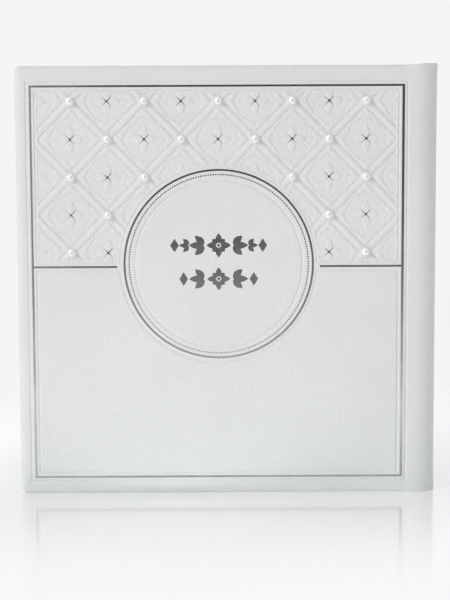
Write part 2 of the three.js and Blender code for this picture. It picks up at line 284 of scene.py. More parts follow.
def cover_leather(name, side, pressed):
    """A cover's leather as one closed mesh: outer face, walls, turn-ins and the strip over the hinge."""
    profile, arc = shoulder_profile()
    if pressed:
        marks = [EDGE_REACH, FRAME_X[0] + 3, FRAME_X[1] - 3, FRAME_X[1] + 2.4, BOARD_END]
        flat = stepped(marks, [LINE_STEP, STEP, LINE_STEP, 0.5])
    else:
        flat = spread(EDGE_REACH, BOARD_END, PLAIN_STEP)
    x_flat = np.r_[graded(EDGE_REACH), flat[1:], FLAT_END]
    n_flat = len(x_flat)
    col_x = np.r_[x_flat, profile[1:, 0]]
    col_d = np.r_[np.zeros(n_flat), profile[1:, 1]]
    slope = np.gradient(np.stack([col_x, col_d], -1), np.r_[x_flat, x_flat[-1] + arc[1:]], axis=0)
    slope /= np.linalg.norm(slope, axis=1)[:, None]
    inward = np.stack([-slope[:, 1], slope[:, 0]], -1)
    inward[:n_flat] = (0, 1)
    board_col = int(np.argmin(abs(col_x[:n_flat] - BOARD_END)))

    edge = graded(EDGE_REACH)
    if pressed:
        marks = [EDGE_REACH, FRAME_Z[0] + 2.6, MEDAL_Z - 35.2, LINE_Z - 2.6, LINE_Z + 2.6, FRAME_Z[1] - 2.6,
                 HEIGHT - EDGE_REACH]
        rows = stepped(marks, [LINE_STEP, PLAIN_STEP, MEDAL_STEP, LINE_STEP, STEP, LINE_STEP])
    else:
        rows = spread(EDGE_REACH, HEIGHT - EDGE_REACH, PLAIN_STEP)
    z_rows = np.r_[edge, rows[1:], (HEIGHT - edge[::-1])[1:]]

    X, Z = np.meshgrid(col_x, z_rows, indexing="ij")
    D = np.repeat(col_d[:, None], len(z_rows), 1)
    U = np.repeat(np.r_[x_flat, FLAT_END + arc[1:]][:, None], len(z_rows), 1)  # way along the profile
    near = np.minimum(Z, HEIGHT - Z)

    # How far from the outline each point is, and the rounded fore-edge corners.
    a = np.clip((CORNER - U) / CORNER, 0, 1)
    b = np.clip((CORNER - near) / CORNER, 0, 1)
    m, h = np.maximum(a, b), np.hypot(a, b)
    corner = (a > 0) & (b > 0)
    turn = np.where(corner, m / np.where(h > 0, h, 1), 1)
    X = np.where(corner, CORNER - a * turn * CORNER, X)
    near_new = np.where(corner, CORNER - b * turn * CORNER, near)
    Z = np.where(Z < HEIGHT / 2, near_new, HEIGHT - near_new)
    away = np.where(corner, CORNER * (1 - m), np.minimum(U, near))

    # The padded edge is deep on the board and shallow on the hinge strip.
    on_board = 1 - rise(U - (BOARD_END - 1.9), 3.4)
    reach = STRIP_EDGE + (EDGE_REACH - STRIP_EDGE) * on_board
    deep = STRIP_EDGE + (EDGE_DEEP - STRIP_EDGE) * on_board
    t = np.clip(away / reach, 0, 1)
    edge_depth = deep * (1 - (1 - (1 - t) ** 2.3) ** (1 / 2.0))
    crown = CROWN * np.exp(-away / CROWN_REACH) * on_board
    lift = edge_depth + crown
    if pressed:
        lift = lift - relief(X, Z) * (U < FLAT_END)
        pressed_grid.update(x=x_flat, z=z_rows, depth=lift[:n_flat])
    X = X + inward[:, None, 0] * lift
    D = D + inward[:, None, 1] * lift
    drop = HEAD_DROP * (1 - rise(U - (SHOULDER - 0.5), 9.0))
    Z = Z - drop * np.clip(Z / HEIGHT, 0, 1) ** DROP_POWER
    ends = np.exp(-np.minimum(Z, HEIGHT - Z) / FLARE_REACH)
    X = X - FLARE * (1 - ends) * rise(U - SHOULDER - 3.0, 5.0)

    nu, nz = X.shape
    points = [place(side, X.ravel(), D.ravel(), Z.ravel())]
    index = np.arange(nu * nz).reshape(nu, nz)
    quads = np.stack([index[:-1, :-1], index[1:, :-1], index[1:, 1:], index[:-1, 1:]], -1).reshape(-1, 4)
    faces = quads.tolist()
    outer_faces = len(faces)
    total = nu * nz

    def add(x, d, z):
        nonlocal total
        made = place(side, np.asarray(x, float), np.asarray(d, float), np.asarray(z, float))
        points.append(made.reshape(-1, 3))
        total += points[-1].shape[0]
        return list(range(total - points[-1].shape[0], total))

    def ribbon(one, two):
        faces.extend([p, q, s, r] for p, q, r, s in zip(one, one[1:], two, two[1:]))

    # Walls of the board part, round the tail, fore edge and head.
    ring = [(i, 0) for i in range(board_col, 0, -1)] + [(0, j) for j in range(nz)]
    ring += [(i, nz - 1) for i in range(1, board_col + 1)]
    loop = [int(index[i, j]) for i, j in ring]
    lx = np.array([X[i, j] for i, j in ring])
    lz = np.array([Z[i, j] for i, j in ring])
    ld = np.array([D[i, j] for i, j in ring])
    out = np.zeros((len(ring), 2))
    for k, (i, j) in enumerate(ring):
        cz = CORNER if j < nz / 2 else HEIGHT - CORNER
        if U[i, j] < CORNER and min(z_rows[j], HEIGHT - z_rows[j]) < CORNER:
            out[k] = (lx[k] - CORNER, lz[k] - cz)
        else:
            out[k] = (-1, 0) if i == 0 else (0, -1 if j == 0 else 1)
        out[k] /= np.linalg.norm(out[k])
    inner_loop, deep_tail, deep_head = loop, [], []
    for share, inset in ((0.45, 0.0), (0.85, 0.02), (0.95, 0.12), (0.985, 0.25), (1.0, 0.5)):
        new = add(lx - out[:, 0] * inset, ld + (INNER_D - ld) * share, lz - out[:, 1] * inset)
        ribbon(inner_loop, new)
        inner_loop = new
        deep_tail.append(new[0])
        deep_head.append(new[-1])

    # The thin strip over the hinge: its edges, underside and end.
    cols = range(board_col, nu)
    under = []
    for j, sign in ((0, 1), (nz - 1, -1)):
        ids = [int(index[i, j]) for i in cols]
        extra = np.array([STRIP_THICK - lift[i, j] for i in cols])
        x = np.array([X[i, j] + inward[i, 0] * e for i, e in zip(cols, extra)])
        d = np.array([D[i, j] + inward[i, 1] * e for i, e in zip(cols, extra)])
        z = np.array([Z[i, j] for i in cols])
        new = add(x, d, z)
        if sign > 0:
            ribbon(ids, new)
        else:
            ribbon(new, ids)
        under.append(new)
    ribbon(under[0], under[1])
    faces.append([int(index[nu - 1, j]) for j in range(nz)] + [under[1][-1], under[0][-1]])
    faces.append([loop[0]] + deep_tail + deep_head[::-1] + [loop[-1], under[1][0], under[0][0]])

    # The window between the turn-ins, down to the board.
    wx = (TURN_IN, BOARD_END - BOARD_GAP)
    wz = (TURN_IN, HEIGHT - TURN_IN)
    top = add([wx[0], wx[1], wx[1], wx[0]], [INNER_D] * 4, [wz[0], wz[0], wz[1], wz[1]])
    floor_d = board_high[1] - front_low[1] - 0.03
    low = add([wx[0], wx[1], wx[1], wx[0]], [floor_d] * 4, [wz[0], wz[0], wz[1], wz[1]])
    for k in range(4):
        n = (k + 1) % 4
        faces.append([top[k], top[n], low[n], low[k]])
    faces.append(low[::-1])
    return finish_mesh(name, np.concatenate(points), faces, outer_faces, [(inner_loop, top)])


def finish_mesh(name, points, faces, smooth_faces=0, fills=(), sharp=0.55):
    """A mesh object with filled gaps. Past the first smooth_faces, edges over that angle are sharp."""
    mesh = bpy.data.meshes.new(name)
    mesh.from_pydata(points.tolist(), [], faces)
    bm = bmesh.new()
    bm.from_mesh(mesh)
    bm.verts.ensure_lookup_table()
    bm.faces.ensure_lookup_table()
    for face in bm.faces:
        face.smooth = True
    for outer, hole in fills:
        edges = []
        for chain in (outer, hole):
            for p, q in zip(chain, chain[1:] + chain[:1]):
                edge = bm.edges.get((bm.verts[p], bm.verts[q]))
                edges.append(edge or bm.edges.new((bm.verts[p], bm.verts[q])))
        made = bmesh.ops.triangle_fill(bm, use_beauty=True, edges=edges)
        for item in made["geom"]:
            if isinstance(item, bmesh.types.BMFace):
                item.smooth = True
    bmesh.ops.recalc_face_normals(bm, faces=bm.faces[:])
    bm.faces.index_update()
    for edge in bm.edges:
        linked = edge.link_faces
        if len(linked) == 2 and max(linked[0].index, linked[1].index) >= smooth_faces:
            edge.smooth = edge.calc_face_angle() < sharp
    bm.to_mesh(mesh)
    bm.free()
    made = bpy.data.objects.new(name, mesh)
    bpy.context.scene.collection.objects.link(made)
    return made


def surface_depth(x, z):
    """Depth of the front cover's mesh at points on its flat part."""
    xs, zs, depth = (pressed_grid[k] for k in ("x", "z", "depth"))
    i = np.clip(np.searchsorted(xs, x) - 1, 0, len(xs) - 2)
    j = np.clip(np.searchsorted(zs, z) - 1, 0, len(zs) - 2)
    a, b = (x - xs[i]) / (xs[i + 1] - xs[i]), (z - zs[j]) / (zs[j + 1] - zs[j])
    low = depth[i, j] * (1 - a) + depth[i + 1, j] * a
    high = depth[i, j + 1] * (1 - a) + depth[i + 1, j + 1] * a
    return low * (1 - b) + high * b


def head_dropped(z):
    return z - HEAD_DROP * np.clip(z / HEIGHT, 0, 1) ** DROP_POWER


# -------------------- foil

FOIL_RISE = 0.03
FOIL_SINK = 0.15
RING_LINE_HALF = 0.34
DOTS = 224
DOT_RADIUS = 0.29
RAY_RISE = 0.11  # over the petals' edges
STAR_DOT_RADIUS = 0.42
STAR_DOT_RISE = 0.13
FLOWER_HOLE = 0.75
SPRIG_SPREAD = ((0.0, 1.0), (0.75, 0.86), (-0.75, 0.86))  # angle and share of the length of each leaf
ORNAMENT_ROWS = ((6.6, 4.2, 16.5), (-5.1, 4.0, 13.4))  # height, flower's size and half width
PETAL_LIFT = 0.015  # overlapping leaves lie at different heights
LEAF_LIFT = 0.012


class Prisms:
    """Thin closed plates laid on the front cover, gathered into one mesh."""

    def __init__(self):
        self.points, self.faces, self.count = [], [], 0

    def _add(self, xz, rise_by):
        xz = np.asarray(xz, float)
        depth = surface_depth(xz[:, 0], xz[:, 1]) - rise_by
        self.points.append(place(-1, xz[:, 0], depth, head_dropped(xz[:, 1])))
        self.count += len(xz)
        return list(range(self.count - len(xz), self.count))

    def polygon(self, xz, rise_by=FOIL_RISE):
        top, low = self._add(xz, rise_by), self._add(xz, -FOIL_SINK)
        n = len(top)
        self.faces += [top, low[::-1]]
        self.faces += [[top[k], low[k], low[(k + 1) % n], top[(k + 1) % n]] for k in range(n)]

    def band(self, one, two, closed, rise_by=FOIL_RISE):
        """A ribbon between two rows of points."""
        n = len(one)
        rows = [self._add(one, rise_by), self._add(two, rise_by), self._add(two, -FOIL_SINK),
                self._add(one, -FOIL_SINK)]
        for k in range(n if closed else n - 1):
            m = (k + 1) % n
            for p, q in zip(rows, rows[1:] + rows[:1]):
                self.faces.append([p[k], q[k], q[m], p[m]])
        if not closed:
            self.faces += [[r[0] for r in rows], [r[-1] for r in rows[::-1]]]

    def build(self, name):
        made = finish_mesh(name, np.concatenate(self.points), self.faces)
        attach(made, "front_cover")
        return made


def rectangle_path(x0, x1, z0, z1, n=90):
    t = np.linspace(0, 1, n, endpoint=False)
    sides = [((x0, z0), (x1, z0)), ((x1, z0), (x1, z1)), ((x1, z1), (x0, z1)), ((x0, z1), (x0, z0))]
    return np.concatenate([np.array(a) + t[:, None] * (np.array(b) - np.array(a)) for a, b in sides])


def circle(cx, cz, radius, count, phase=0.0):
    angle = phase + np.arange(count) * 2 * math.pi / count
    return np.stack([cx + radius * np.cos(angle), cz + radius * np.sin(angle)], -1)


def turned(shape, angle, cx, cz):
    c, s = math.cos(angle), math.sin(angle)
    shape = np.asarray(shape, float)
    return np.stack([cx + shape[:, 0] * c - shape[:, 1] * s, cz + shape[:, 0] * s + shape[:, 1] * c], -1)


def leaf(length, width, start=0.0, count=9, belly=0.45):
    """A pointed oval from start outwards along +X."""
    t = np.linspace(0, 1, count)
    half = width / 2 * np.sin(math.pi * t ** (math.log(0.5) / math.log(belly))) ** 0.9
    upper = np.stack([start + t * length, half], -1)
    return np.concatenate([upper[:-1], (upper * (1, -1))[:0:-1]])


def foil_pieces():
    made = []
    w = FOIL_WIDTH / 2
    frame_line = Prisms()
    (x0, x1), (z0, z1) = FRAME_X, FRAME_Z
    outer = rectangle_path(x0 - w, x1 + w + RIGHT_LINE_EXTRA, z0 - w, z1 + w)
    inner = rectangle_path(x0 + w, x1 - w - RIGHT_LINE_EXTRA, z0 + w, z1 - w)
    frame_line.band(outer, inner, True)
    made.append(frame_line.build("foil_frame_line"))

    cross = Prisms()
    for x0, x1 in ((FRAME_X[0] + w, LINE_ENDS[0]), (LINE_ENDS[1], FRAME_X[1] - w)):
        x = spread(x0, x1, 1.0)
        cross.band(np.stack([x, x * 0 + LINE_Z - w], -1), np.stack([x, x * 0 + LINE_Z + w], -1), False)
    made.append(cross.build("foil_cross_lines"))

    ring = Prisms()
    sides = (circle(MEDAL_X, MEDAL_Z, RING + half, 288) for half in (RING_LINE_HALF, -RING_LINE_HALF))
    ring.band(*sides, True)
    made.append(ring.build("foil_ring"))

    dots = Prisms()
    for x, z in circle(MEDAL_X, MEDAL_Z, DOT_RING, DOTS):
        dots.polygon(circle(x, z, DOT_RADIUS, 8))
    made.append(dots.build("foil_dotted_ring"))

    stars = Prisms()
    along = np.linspace(0.1, 2.1, 9)
    one_side = np.stack([along, 0.12 - 0.03 * along], -1)
    for row in range(QUILT_ROWS):
        for column in range(QUILT_COLUMNS):
            x, z = LATTICE_X + column * PITCH_X, LATTICE_Z - row * PITCH_Z
            if (row + column) % 2 == 0 or math.hypot(x - MEDAL_X, z - MEDAL_Z) < RING_OUTER + 1.6:
                continue
            for k in range(4):
                way = math.pi / 4 + k * math.pi / 2
                sides = (turned(side, way, x, z) for side in (one_side, one_side * (1, -1)))
                stars.band(*sides, False, RAY_RISE)
            stars.polygon(circle(x, z, STAR_DOT_RADIUS, 12), STAR_DOT_RISE)
    made.append(stars.build("foil_stars"))
    made.append(fleurons().build("foil_fleurons"))
    return made


def fleurons():
    """Two rows of plain leaf ornaments in the medallion."""
    made = Prisms()

    def flower(cx, cz, size, petals=8):
        for k in range(petals):
            length = size if k % 2 == 0 else size * 0.72
            petal = leaf(length - FLOWER_HOLE, size * 0.5, FLOWER_HOLE)
            made.polygon(turned(petal, k * 2 * math.pi / petals, cx, cz), FOIL_RISE + PETAL_LIFT * (k % 2))
        made.polygon(circle(cx, cz, 0.5, 14))

    def sprig(cx, cz, way, size):
        for k, (angle, length) in enumerate(SPRIG_SPREAD):
            turn = angle if way > 0 else math.pi - angle
            blade = leaf(size * length - 0.5, size * 0.42, 0.5)
            made.polygon(turned(blade, turn, cx, cz), FOIL_RISE + LEAF_LIFT * k)

    def lozenge(cx, cz, wide, tall):
        made.polygon([(cx - wide, cz), (cx, cz - tall), (cx + wide, cz), (cx, cz + tall)])

    for up, size, reach in ORNAMENT_ROWS:
        cz = MEDAL_Z + up
        flower(MEDAL_X, cz, size)
        for way in (-1, 1):
            sprig(MEDAL_X + way * 4.6, cz, way, 5.7)
            if reach > 15:
                sprig(MEDAL_X + way * 9.9, cz, way, 3.8)
            lozenge(MEDAL_X + way * (reach - 1.2), cz, 1.5, 2.4)
    return made


# -------------------- pearls

FOOT = 0.12  # of a pearl's side, above the leather
SUNK = 0.06


def pearl_piece(name):
    """A domed half pearl with a short foot that tapers a little into the leather."""
    low, high = mm_box(name)
    radius, rise_by = (high[0] - low[0]) / 2, high[1] - low[1]
    centre = (low + high) / 2
    angle = np.linspace(0, math.pi / 2, 12)
    ring_r = np.r_[radius * 0.94, radius, radius * np.cos(angle[1:-1])]
    ring_y = np.r_[SUNK, -FOOT, -FOOT - (rise_by - FOOT) * np.sin(angle[1:-1])]
    n = 40
    points, faces = [], []
    for r, y in zip(ring_r, ring_y):
        for x, z in circle(centre[0], centre[2], r, n):
            points.append((x * MM, (high[1] + y) * MM, z * MM))
    for k in range(len(ring_r) - 1):
        for i in range(n):
            j = (i + 1) % n
            faces.append([k * n + i, k * n + j, (k + 1) * n + j, (k + 1) * n + i])
    points.append((centre[0] * MM, low[1] * MM, centre[2] * MM))
    tip = len(points) - 1
    last = (len(ring_r) - 1) * n
    faces += [[last + i, last + (i + 1) % n, tip] for i in range(n)]
    faces.append(list(range(n)))
    made = finish_mesh("half_" + name, np.array(points), faces)
    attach(made, "front_cover")
    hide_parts(name)
    return made


# -------------------- prisms along the spine and the pages

def sweep(name, outline, stations, place_point, sharp=0.55):
    """A closed outline carried through stations. place_point(outline points, station) gives metres."""
    n, rows = len(outline), len(stations)
    points = np.concatenate([place_point(np.asarray(outline, float), s) for s in stations])
    faces = []
    for r in range(rows - 1):
        for k in range(n):
            j = (k + 1) % n
            faces.append([r * n + k, r * n + j, (r + 1) * n + j, (r + 1) * n + k])
    faces += [list(range(n))[::-1], [(rows - 1) * n + k for k in range(n)]]
    return finish_mesh(name, points, faces, sharp=sharp)


def arc_points(cx, cy, rx, ry, start, end, n):
    a = np.radians(np.linspace(start, end, n))
    return np.stack([cx + rx * np.cos(a), cy + ry * np.sin(a)], -1)


def spine_leather():
    """Outer wall, head and tail caps, and turn-ins of the spine, drawn in X and Z and carried across."""
    wall, back, turn_in = 0.5, 3.15, 12.0
    r = STRIP_EDGE
    head = HEIGHT
    rows = np.r_[0.6, 1.5, 3, 5, 8, 12, 18, 26, 40, 60]
    rows = np.r_[rows, HEIGHT / 2, HEIGHT - rows[::-1]]
    outer = np.stack([np.full(len(rows), WIDTH), rows], -1)
    half = np.concatenate([
        arc_points(WIDTH - r, head - r, r, r, 0, 90, 5),
        arc_points(WIDTH - back + 0.6, head - 0.6, 0.6, 0.6, 90, 180, 6),
        [[WIDTH - back, head - turn_in], [WIDTH - back + 0.45, head - turn_in],
         [WIDTH - back + 0.45, head - 1.2], [WIDTH - back + 0.75, head - 0.75],
         [WIDTH - 0.8, head - 0.75], [WIDTH - wall, head - 1.2]],
    ])
    tail = half[::-1] * (1, -1) + (0, head)
    outline = np.concatenate([outer, half, tail])

    def at(points, station):
        y, pulled = station
        x, z = points[:, 0].copy(), points[:, 1]
        ends = np.exp(-np.minimum(z, HEIGHT - z) / FLARE_REACH)
        near_wall = x > WIDTH - 1.0
        x = np.where(near_wall, x - FLARE * (1 - ends), x)
        if pulled:
            x = np.minimum(x, WIDTH - 1.35)
            x = np.where(points[:, 0] <= WIDTH - wall, np.minimum(x, WIDTH - 1.5), x)
        return np.stack([FORE + x, np.full(len(x), MIDDLE_Y + y), z], -1) * MM

    inner = BLOCK_HALF - 0.9
    full = BLOCK_HALF + 0.02
    stations = [(-full, 1), (-inner - 0.02, 1), (-inner, 0), (-inner / 2, 0), (0, 0), (inner / 2, 0),
                (inner, 0), (inner + 0.02, 1), (full, 1)]
    return sweep("spine_cover_leather", outline, stations, at)


def folded_sheet(points, faces, low_y, high_y, thick, fore, fold, z0, z1, columns):
    """One folded sheet of paper: two leaves joined by a round fold, as one closed strip."""
    radius = (high_y - low_y) / 2
    mid = (high_y + low_y) / 2
    turn = np.radians(np.linspace(-90, 90, 9))
    xs = columns[columns < fold - radius]
    outer = np.concatenate([
        np.stack([xs, np.full(len(xs), low_y)], -1),
        np.stack([fold - radius + radius * np.cos(turn), mid + radius * np.sin(turn)], -1),
        np.stack([xs[::-1], np.full(len(xs), high_y)], -1),
    ])
    inside = max(radius - thick, 0.004)
    inner = np.concatenate([
        np.stack([xs, np.full(len(xs), low_y + thick)], -1),
        np.stack([fold - radius + inside * np.cos(turn), mid + inside * np.sin(turn)], -1),
        np.stack([xs[::-1], np.full(len(xs), high_y - thick)], -1),
    ])
    outer[0, 0] = outer[-1, 0] = inner[0, 0] = inner[-1, 0] = fore
    n = len(outer)
    base = sum(len(p) for p in points)
    for line, z in ((outer, z0), (inner, z0), (inner, z1), (outer, z1)):
        points.append(np.stack([FORE + line[:, 0], MIDDLE_Y + line[:, 1], np.full(n, z)], -1) * MM)
    rows = [list(range(base + k * n, base + (k + 1) * n)) for k in range(4)]
    for k in range(n - 1):
        for p, q in zip(rows, rows[1:] + rows[:1]):
            faces.append([p[k], p[k + 1], q[k + 1], q[k]])
    faces += [[r[0] for r in rows], [r[-1] for r in rows[::-1]]]


PAGE_BEND = 14.0
SHEETS = 4


def section_piece(number, random):
    low, high = mm_box(f"section_{number}")
    columns = np.r_[PAGE_FORE, spread(PAGE_FORE + 2, FOLD - PAGE_BEND - 2, 24.0),
                    spread(FOLD - PAGE_BEND, FOLD - 0.55, 0.9)]
    thick = (high[1] - low[1]) / (2 * SHEETS)
    points, faces = [], []
    for k in range(SHEETS):
        y0 = low[1] - MIDDLE_Y + k * thick
        y1 = high[1] - MIDDLE_Y - k * thick
        jitter = random.uniform(0, 0.16, 3)
        folded_sheet(points, faces, y0, y1, thick * 0.88, PAGE_FORE + 0.02 + jitter[0] * 0.8,
                     FOLD - k * thick, low[2] + jitter[1] * 0.5, high[2] - jitter[2] * 0.5, columns)
    made = finish_mesh(f"leaves_{number}", np.concatenate(points), faces, sharp=0.7)
    body = frame["nodes"][f"section_{number}"]["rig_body"]
    if body == "spine":
        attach(made, "spine")
    else:
        bend_pages(made)
    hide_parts(f"section_{number}")
    return made


def hang(piece, side):
    """Bakes the piece's transform into its mesh."""
    if side < 0:
        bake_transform(piece)
    else:
        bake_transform(piece)


def bend_pages(piece):
    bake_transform(piece)


def paper_strip(name, line, thick, z0, z1, side):
    """A thin sheet along a line of (X, D) points."""
    line = np.asarray(line, float)
    way = np.gradient(line, axis=0)
    way /= np.linalg.norm(way, axis=1)[:, None]
    off = np.stack([-way[:, 1], way[:, 0]], -1) * thick / 2
    outline = np.concatenate([line + off, (line - off)[::-1]])

    def at(points, z):
        return place(side, points[:, 0], points[:, 1], z)

    return sweep(name, outline, [z0, z1], at, sharp=0.9)


def endpapers(side, word):
    """The free flyleaf, and the stretch of the endpaper down into the joint of the cover."""
    low, high = mm_box(f"{word}_flyleaf")
    depth = HALF - abs((low[1] + high[1]) / 2 - MIDDLE_Y)
    columns = np.r_[spread(PAGE_FORE, FOLD - PAGE_BEND, 24.0), spread(FOLD - PAGE_BEND, FOLD, 0.9)[1:]]
    leaf_piece = paper_strip(f"{word}_free_endpaper", np.stack([columns, np.full(len(columns), depth)], -1),
                             high[1] - low[1], low[2], high[2], side)
    bend_pages(leaf_piece)
    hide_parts(f"{word}_flyleaf")

    paste_d = paste_high[1] - front_low[1] + 0.12
    b = BOARD_END
    over_board = [(b - 3.0, paste_d), (b - 0.6, paste_d), (b + 0.25, paste_d - 0.15)]
    down = [(b + 0.45, paste_d - 0.9), (b + 0.5, 3.0), (b + 0.6, 1.9), (b + 1.3, 1.45), (b + 2.3, 1.55)]
    up = [(b + 2.95, 2.0), (b + 3.15, 3.0), (b + 3.17, 4.0), (b + 3.2, depth - 0.12)]
    knots = np.array(over_board + down + up)
    joint = paper_strip(f"{word}_endpaper_joint", smooth_line(knots, 0.25), 0.18, low[2], high[2], side)
    hang(joint, side)
    return [leaf_piece, joint]


def smooth_line(knots, step):
    """A Catmull-Rom line through the knots, in steps of about that length."""
    p = np.vstack([2 * knots[0] - knots[1], knots, 2 * knots[-1] - knots[-2]])
    made = []
    for k in range(1, len(p) - 2):
        n = max(2, int(np.linalg.norm(p[k + 1] - p[k]) / step))
        t = (np.arange(n) / n)[:, None]
        made.append(0.5 * (2 * p[k] + (p[k + 1] - p[k - 1]) * t
                           + (2 * p[k - 1] - 5 * p[k] + 4 * p[k + 1] - p[k + 2]) * t ** 2
                           + (3 * p[k] - p[k - 1] - 3 * p[k + 1] + p[k + 2]) * t ** 3))
    return np.vstack(made + [knots[-1:]])


BAND_TAIL = 8.0  # down the back of the pages
RIB = 0.62


def band_piece(node, top):
    """A sewn headband: a ribbed bead over the pages' edge, with its tail down the back."""
    low, high = mm_box(node)
    x0, x1 = low[0] - FORE, high[0] - FORE
    bead = high[2] - low[2] - BAND_TAIL
    centre = (x0 + x1 - 0.25) / 2
    half = (x1 - 0.25 - x0) / 2
    crest = arc_points(centre, 0, half, bead - 0.05, 0, 180, 15)[::-1]
    end = 0.1 - BAND_TAIL
    tail = [(x1, 0), (x1, end), (x1 - 0.22, end), (x1 - 0.22, -0.02)]
    outline = np.concatenate([crest, tail])

    def at(points, y):
        rib = 0.5 + 0.5 * math.cos(2 * math.pi * y / RIB)
        shrink = 1 - 0.16 * (1 - rib ** 0.6)
        x, z = points[:, 0], points[:, 1]
        lifted = z > 0.01
        x = np.where(lifted, centre + (x - centre) * shrink, x)
        z = np.where(lifted, z * shrink, z)
        base = (high[2] - bead) if top else (low[2] + bead)
        z = base + z if top else base - z
        return np.stack([FORE + x, np.full(len(x), MIDDLE_Y + y), z], -1) * MM

    made = sweep(f"sewn_{node}", outline, spread(-BLOCK_HALF, BLOCK_HALF, 0.078), at, sharp=1.2)
    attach(made, "spine")
    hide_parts(node)
    return made


# -------------------- materials

class Finish:
    """A node material under construction: a principled shader and the texture coordinates of the object."""

    def __init__(self, name, **sockets):
        self.material = bpy.data.materials.new(name)
        self.material.use_nodes = True
        self.tree = self.material.node_tree
        self.shader = self.tree.nodes["Principled BSDF"]
        self.coords = self.tree.nodes.new("ShaderNodeTexCoord").outputs["Object"]
        for key, value in sockets.items():
            self.shader.inputs[key.replace("_", " ")].default_value = value

    def node(self, kind, links, values=(), **settings):
        made = self.tree.nodes.new("ShaderNode" + kind)
        for key, value in settings.items():
            setattr(made, key, value)
        for key, value in dict(values).items():
            made.inputs[key].default_value = value
        for key, source in links.items():
            self.tree.links.new(source, made.inputs[key])
        return made

    def stretched(self, scale):
        return self.node("Mapping", {"Vector": self.coords}, {"Scale": scale}).outputs["Vector"]

    def noise(self, scale, detail=3.0, rough=0.5, vector=None):
        values = {"Scale": scale, "Detail": detail, "Roughness": rough}
        return self.node("TexNoise", {"Vector": vector or self.coords}, values).outputs["Fac"]

    def cells(self, scale):
        made = self.node("TexVoronoi", {"Vector": self.coords}, {"Scale": scale}, feature="SMOOTH_F1")
        return made.outputs["Distance"]

    def wave(self, scale, vector, distortion=0.0, direction="X"):
        made = self.node("TexWave", {"Vector": vector}, {"Scale": scale, "Distortion": distortion},
                         bands_direction=direction)
        return made.outputs["Fac"]

    def math(self, operation, one, two):
        links, values = {}, {}
        for k, item in enumerate((one, two)):
            if isinstance(item, (int, float)):
                values[k] = item
            else:
                links[k] = item
        return self.node("Math", links, values, operation=operation).outputs["Value"]

    def ramp(self, fac, stops):
        made = self.node("ValToRGB", {"Fac": fac})
        band = made.color_ramp
        while len(band.elements) < len(stops):
            band.elements.new(0.5)
        for element, (position, colour) in zip(band.elements, stops):
            element.position = position
            element.color = (*colour, 1)
        return made.outputs["Color"]

    def span(self, fac, low, high):
        return self.node("MapRange", {"Value": fac}, {"To Min": low, "To Max": high}).outputs["Result"]

    def set(self, socket, source):
        self.tree.links.new(source, self.shader.inputs[socket])

    def bump(self, layers):
        """Layers of (height, strength, distance in millimetres), the first under the second."""
        normal = None
        for height, strength, distance in layers:
            links = {"Height": height}
            if normal is not None:
                links["Normal"] = normal
            values = {"Strength": strength, "Distance": distance * MM}
            normal = self.node("Bump", links, values).outputs["Normal"]
        self.set("Normal", normal)
        return self.material


def leather_finish():
    f = Finish("soft_leather", Specular_IOR_Level=0.42, Sheen_Weight=0.06, Sheen_Roughness=0.45)
    pebble = f.cells(1500)
    fine = f.noise(5200, 2.0)
    broad = f.noise(26, 4.0, 0.6)
    tone = f.math("ADD", f.math("MULTIPLY", broad, 0.75), f.math("MULTIPLY", pebble, 0.3))
    f.set("Base Color", f.ramp(tone, [(0.25, (0.720, 0.733, 0.727)), (0.75, (0.784, 0.798, 0.791))]))
    f.set("Roughness", f.span(f.math("ADD", f.noise(420, 3.0), f.math("MULTIPLY", pebble, 0.4)), 0.36, 0.60))
    return f.bump([(f.noise(160, 3.0), 0.3, 0.06), (pebble, 1.0, 0.14), (fine, 0.5, 0.02)])


def foil_finish():
    f = Finish("silver_foil", Metallic=1.0, Specular_IOR_Level=0.5)
    wrinkle = f.noise(700, 4.0, 0.6)
    f.set("Base Color", f.ramp(f.noise(95, 3.0), [(0.3, (0.50, 0.505, 0.51)), (0.7, (0.66, 0.665, 0.67))]))
    f.set("Roughness", f.span(wrinkle, 0.13, 0.27))
    return f.bump([(wrinkle, 0.12, 0.006), (f.cells(1500), 0.12, 0.004)])


def pearl_finish():
    f = Finish("pearl_lustre", Roughness=0.2, Metallic=0.25, Coat_Weight=1.0, Coat_Roughness=0.06,
               Specular_IOR_Level=0.6)
    # Painted shade: the base colour darkens and turns bluer towards each pearl's rim as seen, from the
    # facing weight, mixed with random tone.
    glow = f.node("LayerWeight", {}, {"Blend": 0.35}).outputs["Facing"]
    rim_shade_and_tone = f.math("ADD", f.math("MULTIPLY", glow, 0.7), f.math("MULTIPLY", f.noise(900, 3.0), 0.5))
    f.set("Base Color", f.ramp(rim_shade_and_tone, [(0.15, (0.90, 0.895, 0.885)), (0.5, (0.86, 0.86, 0.86)),
                                      (0.85, (0.74, 0.75, 0.77))]))
    return f.bump([(f.noise(1300, 2.0), 0.12, 0.02)])


def paper_finish(name, low, high, fibre=900):
    f = Finish(name, Specular_IOR_Level=0.25)
    strands = f.noise(fibre, 5.0, 0.65, f.stretched((1.0, 1.0, 0.35)))
    f.set("Base Color", f.ramp(f.math("ADD", f.math("MULTIPLY", strands, 0.6),
                                      f.math("MULTIPLY", f.noise(30, 3.0), 0.4)), [(0.3, low), (0.7, high)]))
    f.set("Roughness", f.span(strands, 0.62, 0.85))
    return f.bump([(strands, 0.35, 0.03), (f.noise(3200, 2.0), 0.2, 0.01)])


def board_finish():
    f = Finish("grey_board", Specular_IOR_Level=0.2)
    chips = f.noise(1400, 6.0, 0.75)
    layers = f.wave(520, f.stretched((0.15, 1.0, 0.15)), 2.5, "Y")
    tone = f.math("ADD", f.math("MULTIPLY", chips, 0.7), f.math("MULTIPLY", layers, 0.25))
    f.set("Base Color", f.ramp(tone, [(0.25, (0.27, 0.255, 0.235)), (0.75, (0.47, 0.45, 0.415))]))
    f.set("Roughness", f.span(chips, 0.75, 0.95))
    return f.bump([(chips, 0.5, 0.05)])


